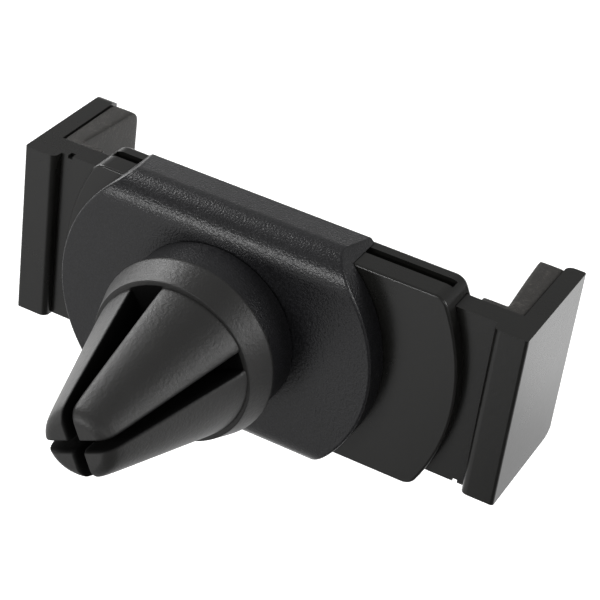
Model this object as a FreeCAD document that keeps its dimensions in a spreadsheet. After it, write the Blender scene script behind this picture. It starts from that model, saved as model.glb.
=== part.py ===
import FreeCAD, Part
import math
import os
from types import SimpleNamespace

import Sketcher

# Car phone holder that plugs onto the blade of an air vent. Millimetres.
# X runs along the jaws, Y from the vent towards the phone, Z up.
# The origin is the centre of the clip's front face, where the vent blade comes to rest.
#
# Pieces, from the vent to the phone: a rubber clip of four prongs moulded over a hard core, a collar,
# a cover that turns on the core, a flat sleeve that slides in the cover, and two jaws that
# telescope in the sleeve and are kept equal by a pinion between their racks.

doc = FreeCAD.newDocument("PhoneHolder")
sheet = doc.addObject("Spreadsheet::Sheet", "Sizes")

driving = {
    # Rubber clip: a flange with a ring of four tapering prongs in front of it
    "clip_tilt": 25.0,
    "flange_face_radius": 13.0,
    "flange_rim_radius": 14.44,
    "flange_side": 4.1,
    "flange_band": 0.5,
    "flange_edge": 0.5,
    "cone_long_radius": 12.7,
    "cone_short_radius": 11.3,
    "nose_long_radius": 5.4,
    "nose_short_radius": 5.0,
    "prong_length": 24.4,
    "nose_round": 2.0,
    "wide_slot_root": 4.95,
    "wide_slot_tip": 1.15,
    "narrow_slot_root": 2.5,
    "narrow_slot_tip": 1.1,
    "prong_edge": 0.6,
    "web_behind_prongs": 1.8,
    # Hard core inside the clip, with the stub that the cover turns on
    "core_radius": 10.75,
    "core_fit": 0.05,
    "stub_radius": 5.15,
    "turning_fit": 0.05,
    "screw_shank_radius": 1.45,
    "screw_thread_depth": 7.0,
    "screw_head_radius": 3.0,
    "screw_head_height": 1.3,
    "screw_head_flat": 2.4,
    "recess_length": 3.6,
    "recess_width": 0.8,
    "recess_depth": 0.8,
    "pivot_washer_radius": 8.5,
    "pivot_washer_thickness": 0.45,
    "spring_washer_inset": 0.3,
    "spring_washer_thickness": 0.25,
    "spring_washer_room": 0.5,
    # Collar between the flange and the cover
    "collar_radius": 13.8,
    "collar_height": 6.05,
    "collar_wall": 1.5,
    "collar_seam": 0.25,
    # Cover: a shallow channel that wraps round the back of the sleeve
    "cover_width": 52.5,
    "cover_end_bow": 10.04,
    "cover_lip_wall": 0.7,
    "cover_draft": 9.0,
    "cover_back_round": 4.8,
    "cover_end_edge": 0.4,
    "cover_wall": 1.5,
    "hollow_depth": 2.7,
    "hollow_ledge": 1.5,
    "washer_room": 1.5,
    "rib_thickness": 1.1,
    "key_end_gap": 0.3,
    "key_width": 1.4,
    "key_play": 0.15,
    "lip_beyond_key": 1.3,
    # Leaf springs that brake the sleeve
    "nest_gap": 0.8,
    "spring_width": 4.0,
    "spring_chord": 15.0,
    "spring_play": 0.15,
    "spring_thickness": 0.3,
    "spring_side_room": 0.5,
    "spring_end_room": 1.5,
    # Sleeve, in two halves screwed together
    "sleeve_shift": 4.65,
    "sleeve_length": 66.2,
    "sleeve_height": 33.4,
    "sleeve_end_radius": 33.75,
    "sleeve_corner": 2.3,
    "sleeve_back_edge": 0.4,
    "sleeve_front_edge": 0.9,
    "sleeve_floor": 2.25,
    "sleeve_front_wall": 1.35,
    "sleeve_side_wall": 1.95,
    "slide_play": 0.15,
    "channel_play": 0.1,
    "groove_end_wall": 0.3,
    "groove_depth": 1.2,
    "groove_above_floor": 1.5,
    "boss_distance": 12.5,
    "boss_radius": 2.6,
    "boss_split": 2.0,
    "sleeve_screw_radius": 0.9,
    "sleeve_screw_fit": 0.1,
    "sleeve_screw_head_radius": 1.8,
    "sleeve_screw_head_height": 1.1,
    "sleeve_screw_head_flat": 1.45,
    "sleeve_screw_length": 4.9,
    "screw_head_sink": 0.3,
    # Jaws: an arm in the sleeve, a strip behind it and a wall that holds the phone
    "arm_thickness": 3.9,
    "arm_play": 0.15,
    "arm_shown": 5.6,
    "jaw_wall": 3.0,
    "jaw_rise": 16.4,
    "strip_width": 5.4,
    "strip_step": 1.8,
    "strip_inner_round": 1.2,
    "strip_outer_round": 0.5,
    "tip_corner": 2.4,
    "tip_outer_round": 0.4,
    "tip_inner_round": 1.2,
    "bar_beyond_teeth": 0.2,
    "bar_clearance": 3.0,
    "notch_from_sleeve": 1.2,
    "notch_width": 0.8,
    "notch_depth": 0.5,
    "notch_thickness": 1.0,
    # Rubber pads on the jaws
    "pad_root_thickness": 3.1,
    "pad_tip_thickness": 4.1,
    "pad_below_tip": 0.8,
    "pad_inset": 0.2,
    "pad_leg_thickness": 1.4,
    "pad_leg_gap": 1.7,
    "pad_corner": 2.0,
    "pad_inner_round": 0.5,
    "pad_side_round": 0.8,
    "peg_radius": 1.5,
    "peg_length": 1.5,
    "peg_fit": 0.05,
    "peg_height": 7.9,
    "peg_spread": 16.0,
    # Rack and pinion
    "pitch_radius": 6.0,
    "pressure_angle": 20.0,
    "rack_tip": 0.7,
    "pinion_tip": 0.8,
    "tooth_root": 1.05,
    "tooth_foot": 0.2,
    "tooth_play": 0.15,
    "pinion_bore_radius": 2.0,
    "pinion_post_fit": 0.05,
    "pinion_end_play": 0.2,
    "pinion_seat": 0.1,
    "pinion_washer_radius": 4.2,
    "pinion_washer_thickness": 0.4,
}
PINION_TEETH = 12
RACK_TEETH = 7
# Pitches from the middle of the pinion to the first tooth of each rack
FIRST_TOOTH = 4.5
# Each flank is one arc, as curved as the involute near its middle: this share of the tip's curvature
FLANK_SHARE = 0.75
# A tooth space is this much narrower at its floor than at the base circle
ROOT_SHARE = 0.8


class Size:
    """A number that also knows the sheet formula it comes from, so sums of sizes stay bound to the sheet."""

    def __init__(self, value, formula):
        self.value = value
        self.formula = formula

    def __add__(self, other):
        other = as_size(other)
        return Size(self.value + other.value, f"({self.formula} + {other.formula})")

    def __radd__(self, other):
        return as_size(other) + self

    def __sub__(self, other):
        other = as_size(other)
        return Size(self.value - other.value, f"({self.formula} - {other.formula})")

    def __rsub__(self, other):
        return as_size(other) - self

    def __mul__(self, other):
        other = as_size(other)
        return Size(self.value * other.value, f"({self.formula} * {other.formula})")

    def __rmul__(self, other):
        return as_size(other) * self

    def __truediv__(self, other):
        other = as_size(other)
        return Size(self.value / other.value, f"({self.formula} / {other.formula})")

    def __neg__(self):
        return Size(-self.value, f"(-{self.formula})")


def as_size(number):
    """Takes a plain number as a size."""
    if isinstance(number, Size):
        return number
    return Size(float(number), f"({float(number)!r})")


def root(size):
    return Size(math.sqrt(size.value), f"sqrt({size.formula})")


def sine(degrees):
    return Size(math.sin(math.radians(degrees.value)), f"sin({degrees.formula})")


def cosine(degrees):
    return Size(math.cos(math.radians(degrees.value)), f"cos({degrees.formula})")


def tangent(degrees):
    return Size(math.tan(math.radians(degrees.value)), f"tan({degrees.formula})")


def arc_cosine(ratio):
    """The angle in degrees, as a plain number."""
    return Size(math.degrees(math.acos(ratio.value)), f"(acos({ratio.formula}) / 1 deg)")


size = SimpleNamespace()
for row, (name, value) in enumerate(driving.items(), start=1):
    sheet.set(f"A{row}", name)
    sheet.set(f"B{row}", str(value))
    sheet.setAlias(f"B{row}", name)
    setattr(size, name, Size(value, f"Sizes.{name}"))
doc.recompute()

# Places along Y, each worked out from the one before it
flange_height = size.flange_side + size.flange_band + size.flange_edge
cover_back = flange_height + size.collar_height + size.collar_seam
hollow_floor = cover_back + size.cover_wall
channel_floor = hollow_floor + size.hollow_depth
sleeve_back_face = channel_floor + size.slide_play
cavity_back = sleeve_back_face + size.sleeve_floor
arm_back = cavity_back + size.arm_play
arm_front = arm_back + size.arm_thickness
cavity_front = arm_front + size.arm_play
sleeve_front_face = cavity_front + size.sleeve_front_wall
groove_back = cavity_back + size.groove_above_floor
parting = groove_back + size.key_width + 2 * size.key_play
key_back = groove_back + size.key_play
key_front = key_back + size.key_width
cover_lip = key_front + size.key_play + size.lip_beyond_key
strip_back = arm_back - size.strip_step
jaw_tip = arm_front + size.jaw_rise
pad_leg_front = arm_front + size.pad_leg_thickness
pad_tip = jaw_tip - size.pad_below_tip
stub_end = hollow_floor + size.spring_washer_room
head_seat = stub_end + size.pivot_washer_thickness

# Half heights along Z, from the sleeve's outside
sleeve_half = size.sleeve_height / 2
groove_half = sleeve_half - size.groove_depth
cavity_half = sleeve_half - size.sleeve_side_wall
jaw_half = cavity_half - size.arm_play
pad_half = jaw_half - size.pad_inset
channel_half = sleeve_half + size.channel_play
lip_half = sleeve_half + size.cover_lip_wall

PLANE_AXIS = {"XY": FreeCAD.Vector(0, 0, 1), "XZ": FreeCAD.Vector(0, 1, 0), "YZ": FreeCAD.Vector(1, 0, 0)}
CONVEX = 1
HOLLOW = -1
# How far a cut runs past the solid that it cuts
BEYOND = 1
bodies = []


def new_body(label):
    """An empty body whose label is the name of its piece."""
    body = doc.addObject("PartDesign::Body", label)
    body.Label = label
    bodies.append(body)
    return body


def sketch_on(body, name, plane, height=0):
    """A sketch on one of the body's own origin planes, lifted along that plane's axis."""
    sketch = body.newObject("Sketcher::SketchObject", name)
    support = [feature for feature in body.Origin.OriginFeatures if feature.Role == plane + "_Plane"]
    sketch.AttachmentSupport = [(support[0], "")]
    sketch.MapMode = "FlatFace"
    doc.recompute()
    normal = sketch.Placement.Rotation.multVec(FreeCAD.Vector(0, 0, 1))
    forward = 1 if normal.dot(PLANE_AXIS[plane]) > 0 else -1
    sketch.setExpression("AttachmentOffset.Base.z", (forward * as_size(height)).formula)
    sketch.addProperty("App::PropertyInteger", "Forward")
    sketch.Forward = forward
    return sketch


def hold_point(sketch, geometry, end, x, y):
    """Ties one point of the sketch to its two coordinates."""
    where = sketch.addConstraint([
        Sketcher.Constraint("DistanceX", -1, 1, geometry, end, x.value),
        Sketcher.Constraint("DistanceY", -1, 1, geometry, end, y.value),
    ])
    sketch.setExpression(f"Constraints[{where[0]}]", x.formula)
    sketch.setExpression(f"Constraints[{where[1]}]", y.formula)


def arc_between(start, end, radius, bend):
    """The short arc from start to end, and whether it runs from start to end counterclockwise."""
    chord = end - start
    height = math.sqrt(radius ** 2 - (chord.Length / 2) ** 2)
    aside = FreeCAD.Vector(-chord.y, chord.x, 0).normalize()
    centre = start + chord * 0.5 + aside * height * bend
    first, last = (start, end) if bend == CONVEX else (end, start)
    angles = [math.atan2(point.y - centre.y, point.x - centre.x) for point in (first, last)]
    circle = Part.Circle(centre, FreeCAD.Vector(0, 0, 1), radius)
    return Part.ArcOfCircle(circle, angles[0], angles[1])


def outline(sketch, corners):
    """A closed outline, drawn counterclockwise. A corner (x, y) starts a straight run, and a
    corner (x, y, radius, CONVEX or HOLLOW) starts an arc of that radius."""
    corners = [tuple(as_size(item) for item in corner[:3]) + tuple(corner[3:]) for corner in corners]
    points = [FreeCAD.Vector(corner[0].value, corner[1].value, 0) for corner in corners]
    runs = []
    for number, corner in enumerate(corners):
        start = points[number]
        end = points[(number + 1) % len(points)]
        if len(corner) == 2:
            runs.append((sketch.addGeometry(Part.LineSegment(start, end), False), 1, 2))
            continue
        radius, bend = corner[2:]
        arc = sketch.addGeometry(arc_between(start, end, radius.value, bend), False)
        runs.append((arc, 1, 2) if bend == CONVEX else (arc, 2, 1))
        held = sketch.addConstraint(Sketcher.Constraint("Radius", arc, radius.value))
        sketch.setExpression(f"Constraints[{held}]", radius.formula)
    for number, (run, start, end) in enumerate(runs):
        following = runs[(number + 1) % len(runs)]
        sketch.addConstraint(Sketcher.Constraint("Coincident", run, end, following[0], following[1]))
        hold_point(sketch, run, start, corners[number][0], corners[number][1])


def rectangle(sketch, left, right, low, high):
    outline(sketch, [(left, low), (right, low), (right, high), (left, high)])


def circle(sketch, x, y, radius):
    x = as_size(x)
    y = as_size(y)
    shape = Part.Circle(FreeCAD.Vector(x.value, y.value, 0), FreeCAD.Vector(0, 0, 1), radius.value)
    ring = sketch.addGeometry(shape, False)
    hold_point(sketch, ring, 3, x, y)
    held = sketch.addConstraint(Sketcher.Constraint("Radius", ring, radius.value))
    sketch.setExpression(f"Constraints[{held}]", radius.formula)


def oval(sketch, along_x, along_y):
    """An oval of four arcs that meet at 45 degrees, longer along its first axis."""
    shift = (along_x - along_y) / (2 - math.sqrt(2))
    end_radius = along_x - shift
    side_radius = along_y + shift
    corner_y = end_radius / math.sqrt(2)
    corner_x = corner_y + shift
    outline(sketch, [
        (corner_x, -corner_y, end_radius, CONVEX),
        (corner_x, corner_y, side_radius, CONVEX),
        (-corner_x, corner_y, end_radius, CONVEX),
        (-corner_x, -corner_y, side_radius, CONVEX),
    ])


def extrude(body, kind, name, sketch, length, way):
    """A Pad or a Pocket that runs forwards (+1) or backwards (-1) along the plane's axis, or both (0).
    A pocket without a length goes through everything."""
    before = body.Tip.Shape.Volume if body.Tip else 0.0
    feature = body.newObject("PartDesign::" + kind, name)
    feature.Profile = sketch
    if way == 0:
        feature.SideType = "Symmetric"
    else:
        grows_along_normal = kind == "Pad"
        feature.Reversed = (way == sketch.Forward) != grows_along_normal
    if length is None:
        feature.Type = "ThroughAll"
    else:
        feature.setExpression("Length", as_size(length).formula)
    doc.recompute()
    check_change(feature, before, kind == "Pad")
    return feature


def check_change(feature, before, grows):
    """Stops the build when a feature leaves the solid as it was or changes it the wrong way."""
    change = feature.Shape.Volume - before
    if change == 0 or (change > 0) != grows:
        raise RuntimeError(f"{feature.Label} changes the volume by {change:.3f}")


def revolve(body, name, sketch):
    """A full turn of a profile about the Y axis."""
    feature = body.newObject("PartDesign::Revolution", name)
    feature.Profile = sketch
    feature.ReferenceAxis = (sketch, ["V_Axis"])
    feature.Angle = 360
    doc.recompute()
    return feature


def lies(x=None, y=None, z=None, within=0.01):
    """A test for edges: true where the whole edge keeps to the places given. A pair is a range."""
    def test(edge):
        box = edge.BoundBox
        spans = ((x, box.XMin, box.XMax), (y, box.YMin, box.YMax), (z, box.ZMin, box.ZMax))
        for place, low, high in spans:
            if place is None:
                continue
            ends = place if isinstance(place, tuple) else (place, place)
            values = [as_size(end).value for end in ends]
            if low < values[0] - within or high > values[1] + within:
                return False
        return True
    return test


def round_edges(body, name, radius, *tests):
    """Rounds the edges of the solid so far that pass any of the tests."""
    return treat_edges(body, "Fillet", "Radius", name, radius, tests)


def bevel_edges(body, name, width, *tests):
    """Bevels the edges of the solid so far that pass any of the tests."""
    return treat_edges(body, "Chamfer", "Size", name, width, tests)


def treat_edges(body, kind, measure, name, amount, tests):
    before = body.Tip
    picked = [f"Edge{number}" for number, edge in enumerate(before.Shape.Edges, start=1)
              if any(test(edge) for test in tests)]
    if not picked:
        raise RuntimeError(f"{name} finds no edge")
    feature = body.newObject("PartDesign::" + kind, name)
    feature.Base = (before, picked)
    feature.setExpression(measure, amount.formula)
    doc.recompute()
    return feature


def repeat_in_circle(body, name, feature, sketch, count):
    pattern = body.newObject("PartDesign::PolarPattern", name)
    pattern.Originals = [feature]
    pattern.Axis = (sketch, ["N_Axis"])
    pattern.Angle = 360
    pattern.Occurrences = count
    body.Tip = pattern
    doc.recompute()
    return pattern


def repeat_in_line(body, name, feature, sketch, pitch, count):
    pattern = body.newObject("PartDesign::LinearPattern", name)
    pattern.Originals = [feature]
    pattern.Direction = (sketch, ["H_Axis"])
    pattern.Mode = "Spacing"
    pattern.setExpression("Offset", pitch.formula)
    pattern.Occurrences = count
    body.Tip = pattern
    doc.recompute()
    return pattern


def end_outline(apex, radius, height):
    """Where an end arc of the given radius, whose middle is at x = apex, reaches the given height."""
    return apex - radius + root(radius * radius - height * height)


# Vent clip: one rubber moulding, a flange with four prongs cut from an oval cone
clip = new_body("vent_clip")
flange_profile = sketch_on(clip, "flange_profile", "XY")
outline(flange_profile, [
    (0, 0),
    (size.flange_face_radius, 0),
    (size.flange_rim_radius, size.flange_side),
    (size.flange_rim_radius, flange_height - size.flange_edge),
    (size.flange_rim_radius - size.flange_edge, flange_height),
    (size.core_radius + size.core_fit, flange_height),
    (size.core_radius + size.core_fit, size.web_behind_prongs),
    (0, size.web_behind_prongs),
])
revolve(clip, "flange", flange_profile)
cone_root = sketch_on(clip, "cone_root", "XZ")
oval(cone_root, size.cone_long_radius, size.cone_short_radius)
cone_nose = sketch_on(clip, "cone_nose", "XZ", -size.prong_length)
oval(cone_nose, size.nose_long_radius, size.nose_short_radius)
cone = clip.newObject("PartDesign::AdditiveLoft", "cone")
cone.Profile = cone_root
cone.Sections = [cone_nose]
cone.Ruled = True
doc.recompute()
round_edges(clip, "nose_round", size.nose_round, lies(y=-size.prong_length))


def slot_corners(root_width, tip_width):
    """A wedge from the clip's face to just past the nose, as (across, along) pairs."""
    taper = (root_width - tip_width) / size.prong_length
    reach = size.prong_length + BEYOND
    far_half = (root_width - taper * reach) / 2
    return [(-far_half, -reach), (far_half, -reach), (root_width / 2, 0), (-root_width / 2, 0)]


wide_slot_profile = sketch_on(clip, "wide_slot_profile", "XY")
outline(wide_slot_profile, slot_corners(size.wide_slot_root, size.wide_slot_tip))
extrude(clip, "Pocket", "wide_slot", wide_slot_profile, None, 0)
narrow_slot_profile = sketch_on(clip, "narrow_slot_profile", "YZ")
outline(narrow_slot_profile, [
    (along, across) for across, along in slot_corners(size.narrow_slot_root, size.narrow_slot_tip)
][::-1])
extrude(clip, "Pocket", "narrow_slot", narrow_slot_profile, None, 0)


def long_prong_edge(edge):
    """The edges along the slots that run the length of a prong."""
    middle = edge.valueAt((edge.FirstParameter + edge.LastParameter) / 2)
    beside_slot = min(abs(middle.x), abs(middle.z)) < size.wide_slot_root.value / 2
    return beside_slot and edge.BoundBox.YLength > size.prong_length.value / 2


bevel_edges(clip, "prong_edges", size.prong_edge, long_prong_edge)

# Clip core: the hard disc inside the rubber, with the stub that carries the cover
core = new_body("clip_core")
pilot_radius = size.screw_shank_radius + size.core_fit
pilot_floor = stub_end - size.screw_thread_depth - size.core_fit
core_profile = sketch_on(core, "core_profile", "XY")
outline(core_profile, [
    (0, size.web_behind_prongs + size.core_fit),
    (size.core_radius, size.web_behind_prongs + size.core_fit),
    (size.core_radius, flange_height - size.core_fit),
    (size.stub_radius, flange_height - size.core_fit),
    (size.stub_radius, stub_end),
    (pilot_radius, stub_end),
    (pilot_radius, pilot_floor),
    (0, pilot_floor),
])
revolve(core, "core", core_profile)

# Collar: a turned-over cup, open towards the cover
collar = new_body("collar")
collar_top = flange_height + size.collar_height
collar_profile = sketch_on(collar, "collar_profile", "XY")
outline(collar_profile, [
    (size.stub_radius + size.core_fit, flange_height),
    (size.collar_radius, flange_height),
    (size.collar_radius, collar_top),
    (size.collar_radius - size.collar_wall, collar_top),
    (size.collar_radius - size.collar_wall, flange_height + size.collar_wall),
    (size.stub_radius + size.core_fit, flange_height + size.collar_wall),
])
revolve(collar, "cup", collar_profile)

# Pivot screw with its washer and the dished spring washer that gives the turn its drag
pivot_screw = new_body("pivot_screw")
head_top = head_seat + size.screw_head_height
screw_profile = sketch_on(pivot_screw, "screw_profile", "XY")
outline(screw_profile, [
    (0, stub_end - size.screw_thread_depth),
    (size.screw_shank_radius, stub_end - size.screw_thread_depth),
    (size.screw_shank_radius, head_seat),
    (size.screw_head_radius, head_seat),
    (size.screw_head_radius, head_top - size.screw_head_height / 2),
    (size.screw_head_flat, head_top),
    (0, head_top),
])
revolve(pivot_screw, "screw", screw_profile)
recess = sketch_on(pivot_screw, "recess", "XZ", head_top)
recess_half = size.recess_length / 2
recess_slot = size.recess_width / 2
outline(recess, [
    (-recess_half, -recess_slot), (-recess_slot, -recess_slot), (-recess_slot, -recess_half),
    (recess_slot, -recess_half), (recess_slot, -recess_slot), (recess_half, -recess_slot),
    (recess_half, recess_slot), (recess_slot, recess_slot), (recess_slot, recess_half),
    (-recess_slot, recess_half), (-recess_slot, recess_slot), (-recess_half, recess_slot),
])
extrude(pivot_screw, "Pocket", "cross_recess", recess, size.recess_depth, -1)


def ring_profile(body, corners):
    """A body made of one profile turned about the Y axis."""
    profile = sketch_on(body, body.Label + "_profile", "XY")
    outline(profile, corners)
    revolve(body, body.Label + "_ring", profile)


ring_profile(new_body("pivot_washer"), [
    (size.screw_shank_radius + size.core_fit, stub_end),
    (size.pivot_washer_radius, stub_end),
    (size.pivot_washer_radius, head_seat),
    (size.screw_shank_radius + size.core_fit, head_seat),
])
spring_washer_bore = size.stub_radius + size.turning_fit * 2
spring_washer_low = hollow_floor + size.core_fit
spring_washer_high = stub_end - size.core_fit
spring_washer_radius = size.pivot_washer_radius - size.spring_washer_inset
ring_profile(new_body("spring_washer"), [
    (spring_washer_bore, spring_washer_high - size.spring_washer_thickness),
    (spring_washer_radius, spring_washer_low),
    (spring_washer_radius, spring_washer_low + size.spring_washer_thickness),
    (spring_washer_bore, spring_washer_high),
])

# Back cover: a channel with rounded back edges, its ends cut to arcs, ribbed inside
cover = new_body("back_cover")
cover_half = size.cover_width / 2
cover_depth = cover_lip - cover_back
back_half = lip_half + cover_depth * tangent(size.cover_draft)
bow = size.cover_end_bow
cover_end_radius = (back_half * back_half + bow * bow) / (2 * bow)
section = sketch_on(cover, "section", "YZ")
outline(section, [
    (cover_back, -back_half), (cover_lip, -lip_half), (cover_lip, lip_half), (cover_back, back_half),
])
extrude(cover, "Pad", "block", section, size.cover_width, 0)
round_edges(cover, "back_rounds", size.cover_back_round, lies(y=cover_back, z=back_half),
            lies(y=cover_back, z=-back_half))

end_cuts = sketch_on(cover, "end_cuts", "XZ", cover_back)
arc_top = back_half + BEYOND / 2
arc_corner = end_outline(cover_half, cover_end_radius, arc_top)
outside = cover_half + BEYOND
outline(end_cuts, [
    (outside, -arc_top), (outside, arc_top), (arc_corner, arc_top, cover_end_radius, HOLLOW),
    (arc_corner, -arc_top),
])
outline(end_cuts, [
    (-outside, arc_top), (-outside, -arc_top), (-arc_corner, -arc_top, cover_end_radius, HOLLOW),
    (-arc_corner, arc_top),
])
extrude(cover, "Pocket", "ends", end_cuts, None, 1)

channel = sketch_on(cover, "channel", "YZ")
rectangle(channel, channel_floor, cover_lip + BEYOND, -channel_half, channel_half)
extrude(cover, "Pocket", "sleeve_channel", channel, None, 0)

hollow = sketch_on(cover, "hollow", "XZ", channel_floor)
inner_radius = cover_end_radius - size.cover_wall
hollow_half = channel_half - size.hollow_ledge
hollow_corner = end_outline(cover_half - size.cover_wall, inner_radius, hollow_half)
outline(hollow, [
    (-hollow_corner, -hollow_half), (hollow_corner, -hollow_half, inner_radius, CONVEX),
    (hollow_corner, hollow_half), (-hollow_corner, hollow_half, inner_radius, CONVEX),
])
extrude(cover, "Pocket", "hollow_back", hollow, size.hollow_depth, -1)

well = sketch_on(cover, "well", "XZ", hollow_floor)
well_radius = size.pivot_washer_radius + size.washer_room
circle(well, 0, 0, well_radius)
circle(well, 0, 0, well_radius + size.rib_thickness)
extrude(cover, "Pad", "washer_well", well, size.hollow_depth, 1)

nest_half_width = size.spring_width / 2 + size.spring_side_room
nest_half_height = size.spring_chord / 2 + size.spring_end_room
spring_distance = well_radius + 2 * size.rib_thickness + size.nest_gap + nest_half_width
spring_nests = sketch_on(cover, "spring_nests", "XZ", hollow_floor)
for side in (-1, 1):
    middle = side * spring_distance
    for grow in (0, size.rib_thickness):
        rectangle(spring_nests, middle - nest_half_width - grow, middle + nest_half_width + grow,
                  -nest_half_height - grow, nest_half_height + grow)
extrude(cover, "Pad", "nest_ribs", spring_nests, size.hollow_depth, 1)

pivot_bore = sketch_on(cover, "pivot_bore", "XZ", cover_back)
circle(pivot_bore, 0, 0, size.stub_radius + size.turning_fit)
extrude(cover, "Pocket", "bore", pivot_bore, size.cover_wall, 1)

keys = sketch_on(cover, "keys", "YZ")
key_tip = groove_half + size.key_play
key_root = channel_half + size.key_play
rectangle(keys, key_back, key_front, key_tip, key_root)
rectangle(keys, key_back, key_front, -key_root, -key_tip)
key_end = end_outline(cover_half, cover_end_radius, lip_half) - size.key_end_gap
extrude(cover, "Pad", "sliding_keys", keys, 2 * key_end, 0)


def outer_arc_edge(edge):
    """The edges where an end arc meets the back or the rounded sides."""
    box = edge.BoundBox
    middle = edge.valueAt((edge.FirstParameter + edge.LastParameter) / 2)
    if abs(middle.x) < arc_corner.value or middle.y > channel_floor.value - 0.01:
        return False
    centre_x = (cover_half - cover_end_radius).value
    distance = math.hypot(abs(middle.x) - centre_x, middle.z)
    return abs(distance - cover_end_radius.value) < 0.01 and box.YMin < channel_floor.value - 0.01


round_edges(cover, "end_edges", size.cover_end_edge, outer_arc_edge)

# Brake springs: bowed leaves in the cover that press on the sleeve's back
spring_foot = hollow_floor + size.core_fit
half_chord = size.spring_chord / 2
bow_height = sleeve_back_face - size.spring_play - size.spring_thickness - spring_foot
inner_bow = (half_chord * half_chord + bow_height * bow_height) / (2 * bow_height)
outer_bow = inner_bow + size.spring_thickness
bow_centre = spring_foot + bow_height - inner_bow
outer_foot = bow_centre + root(outer_bow * outer_bow - half_chord * half_chord)
for side, label in ((-1, "brake_spring_left"), (1, "brake_spring_right")):
    leaf = new_body(label)
    leaf_profile = sketch_on(leaf, label + "_profile", "YZ")
    outline(leaf_profile, [
        (spring_foot, -half_chord), (outer_foot, -half_chord, outer_bow, CONVEX),
        (outer_foot, half_chord), (spring_foot, half_chord, inner_bow, HOLLOW),
    ])
    extrude(leaf, "Pad", label + "_leaf", leaf_profile, size.spring_width, 0)
    leaf.setExpression("Placement.Base.x", (side * spring_distance).formula)

# Sleeve, back half: a tray with the groove, the pinion's post and the screw bosses
sleeve_apex = size.sleeve_length / 2
sleeve_corner_x = end_outline(sleeve_apex, size.sleeve_end_radius, sleeve_half)


def sleeve_block(body, name, low, high):
    """The sleeve's outline between two heights, with its four corners rounded."""
    face = sketch_on(body, name + "_outline", "XZ", low)
    outline(face, [
        (-sleeve_corner_x, -sleeve_half), (sleeve_corner_x, -sleeve_half, size.sleeve_end_radius, CONVEX),
        (sleeve_corner_x, sleeve_half), (-sleeve_corner_x, sleeve_half, size.sleeve_end_radius, CONVEX),
    ])
    extrude(body, "Pad", name, face, high - low, 1)
    corners = [lies(x=side * sleeve_corner_x, z=end * sleeve_half) for side in (-1, 1) for end in (-1, 1)]
    round_edges(body, name + "_corners", size.sleeve_corner, *corners)


def boss_circles(sketch, radius):
    for side in (-1, 1):
        circle(sketch, side * size.boss_distance, 0, radius)


sleeve_back = new_body("sleeve_back")
sleeve_block(sleeve_back, "tray", sleeve_back_face, parting)
round_edges(sleeve_back, "tray_back_edge", size.sleeve_back_edge, lies(y=sleeve_back_face))
tray_cavity = sketch_on(sleeve_back, "tray_cavity", "YZ")
rectangle(tray_cavity, cavity_back, parting + BEYOND, -cavity_half, cavity_half)
extrude(sleeve_back, "Pocket", "arm_space", tray_cavity, None, 0)
grooves = sketch_on(sleeve_back, "grooves", "YZ")
rectangle(grooves, groove_back, parting + BEYOND, groove_half, sleeve_half + BEYOND)
rectangle(grooves, groove_back, parting + BEYOND, -sleeve_half - BEYOND, -groove_half)
groove_end = sleeve_corner_x - size.groove_end_wall
extrude(sleeve_back, "Pocket", "key_grooves", grooves, 2 * groove_end, 0)
boss_top = cavity_back + size.boss_split
back_bosses = sketch_on(sleeve_back, "back_bosses", "XZ", cavity_back)
boss_circles(back_bosses, size.boss_radius)
extrude(sleeve_back, "Pad", "screw_bosses", back_bosses, size.boss_split, 1)
screw_holes = sketch_on(sleeve_back, "screw_holes", "XZ", boss_top)
boss_circles(screw_holes, size.sleeve_screw_radius + size.sleeve_screw_fit)
extrude(sleeve_back, "Pocket", "through_holes", screw_holes, None, -1)
counterbore_depth = size.screw_head_sink + size.sleeve_screw_head_height
counterbores = sketch_on(sleeve_back, "counterbores", "XZ", sleeve_back_face)
boss_circles(counterbores, size.sleeve_screw_head_radius + size.sleeve_screw_fit)
extrude(sleeve_back, "Pocket", "head_seats", counterbores, counterbore_depth, 1)
post = sketch_on(sleeve_back, "post", "XZ", cavity_back)
circle(post, 0, 0, size.pinion_bore_radius - size.pinion_post_fit)
post_length = cavity_front - cavity_back - size.pinion_end_play
extrude(sleeve_back, "Pad", "pinion_post", post, post_length, 1)

# Sleeve, front half: the lid that the phone's back lies against
sleeve_front = new_body("sleeve_front")
sleeve_block(sleeve_front, "lid", parting, sleeve_front_face)
round_edges(sleeve_front, "lid_front_edge", size.sleeve_front_edge, lies(y=sleeve_front_face))
lid_cavity = sketch_on(sleeve_front, "lid_cavity", "YZ")
rectangle(lid_cavity, parting - BEYOND, cavity_front, -cavity_half, cavity_half)
extrude(sleeve_front, "Pocket", "arm_room", lid_cavity, None, 0)
front_bosses = sketch_on(sleeve_front, "front_bosses", "XZ", cavity_front)
boss_circles(front_bosses, size.boss_radius)
extrude(sleeve_front, "Pad", "lid_bosses", front_bosses, cavity_front - boss_top, -1)
pilots = sketch_on(sleeve_front, "pilots", "XZ", boss_top)
boss_circles(pilots, size.sleeve_screw_radius)
screw_seat = sleeve_back_face + counterbore_depth
screw_end = screw_seat + size.sleeve_screw_length
extrude(sleeve_front, "Pocket", "pilot_holes", pilots, screw_end - boss_top + size.sleeve_screw_fit, 1)

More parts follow.
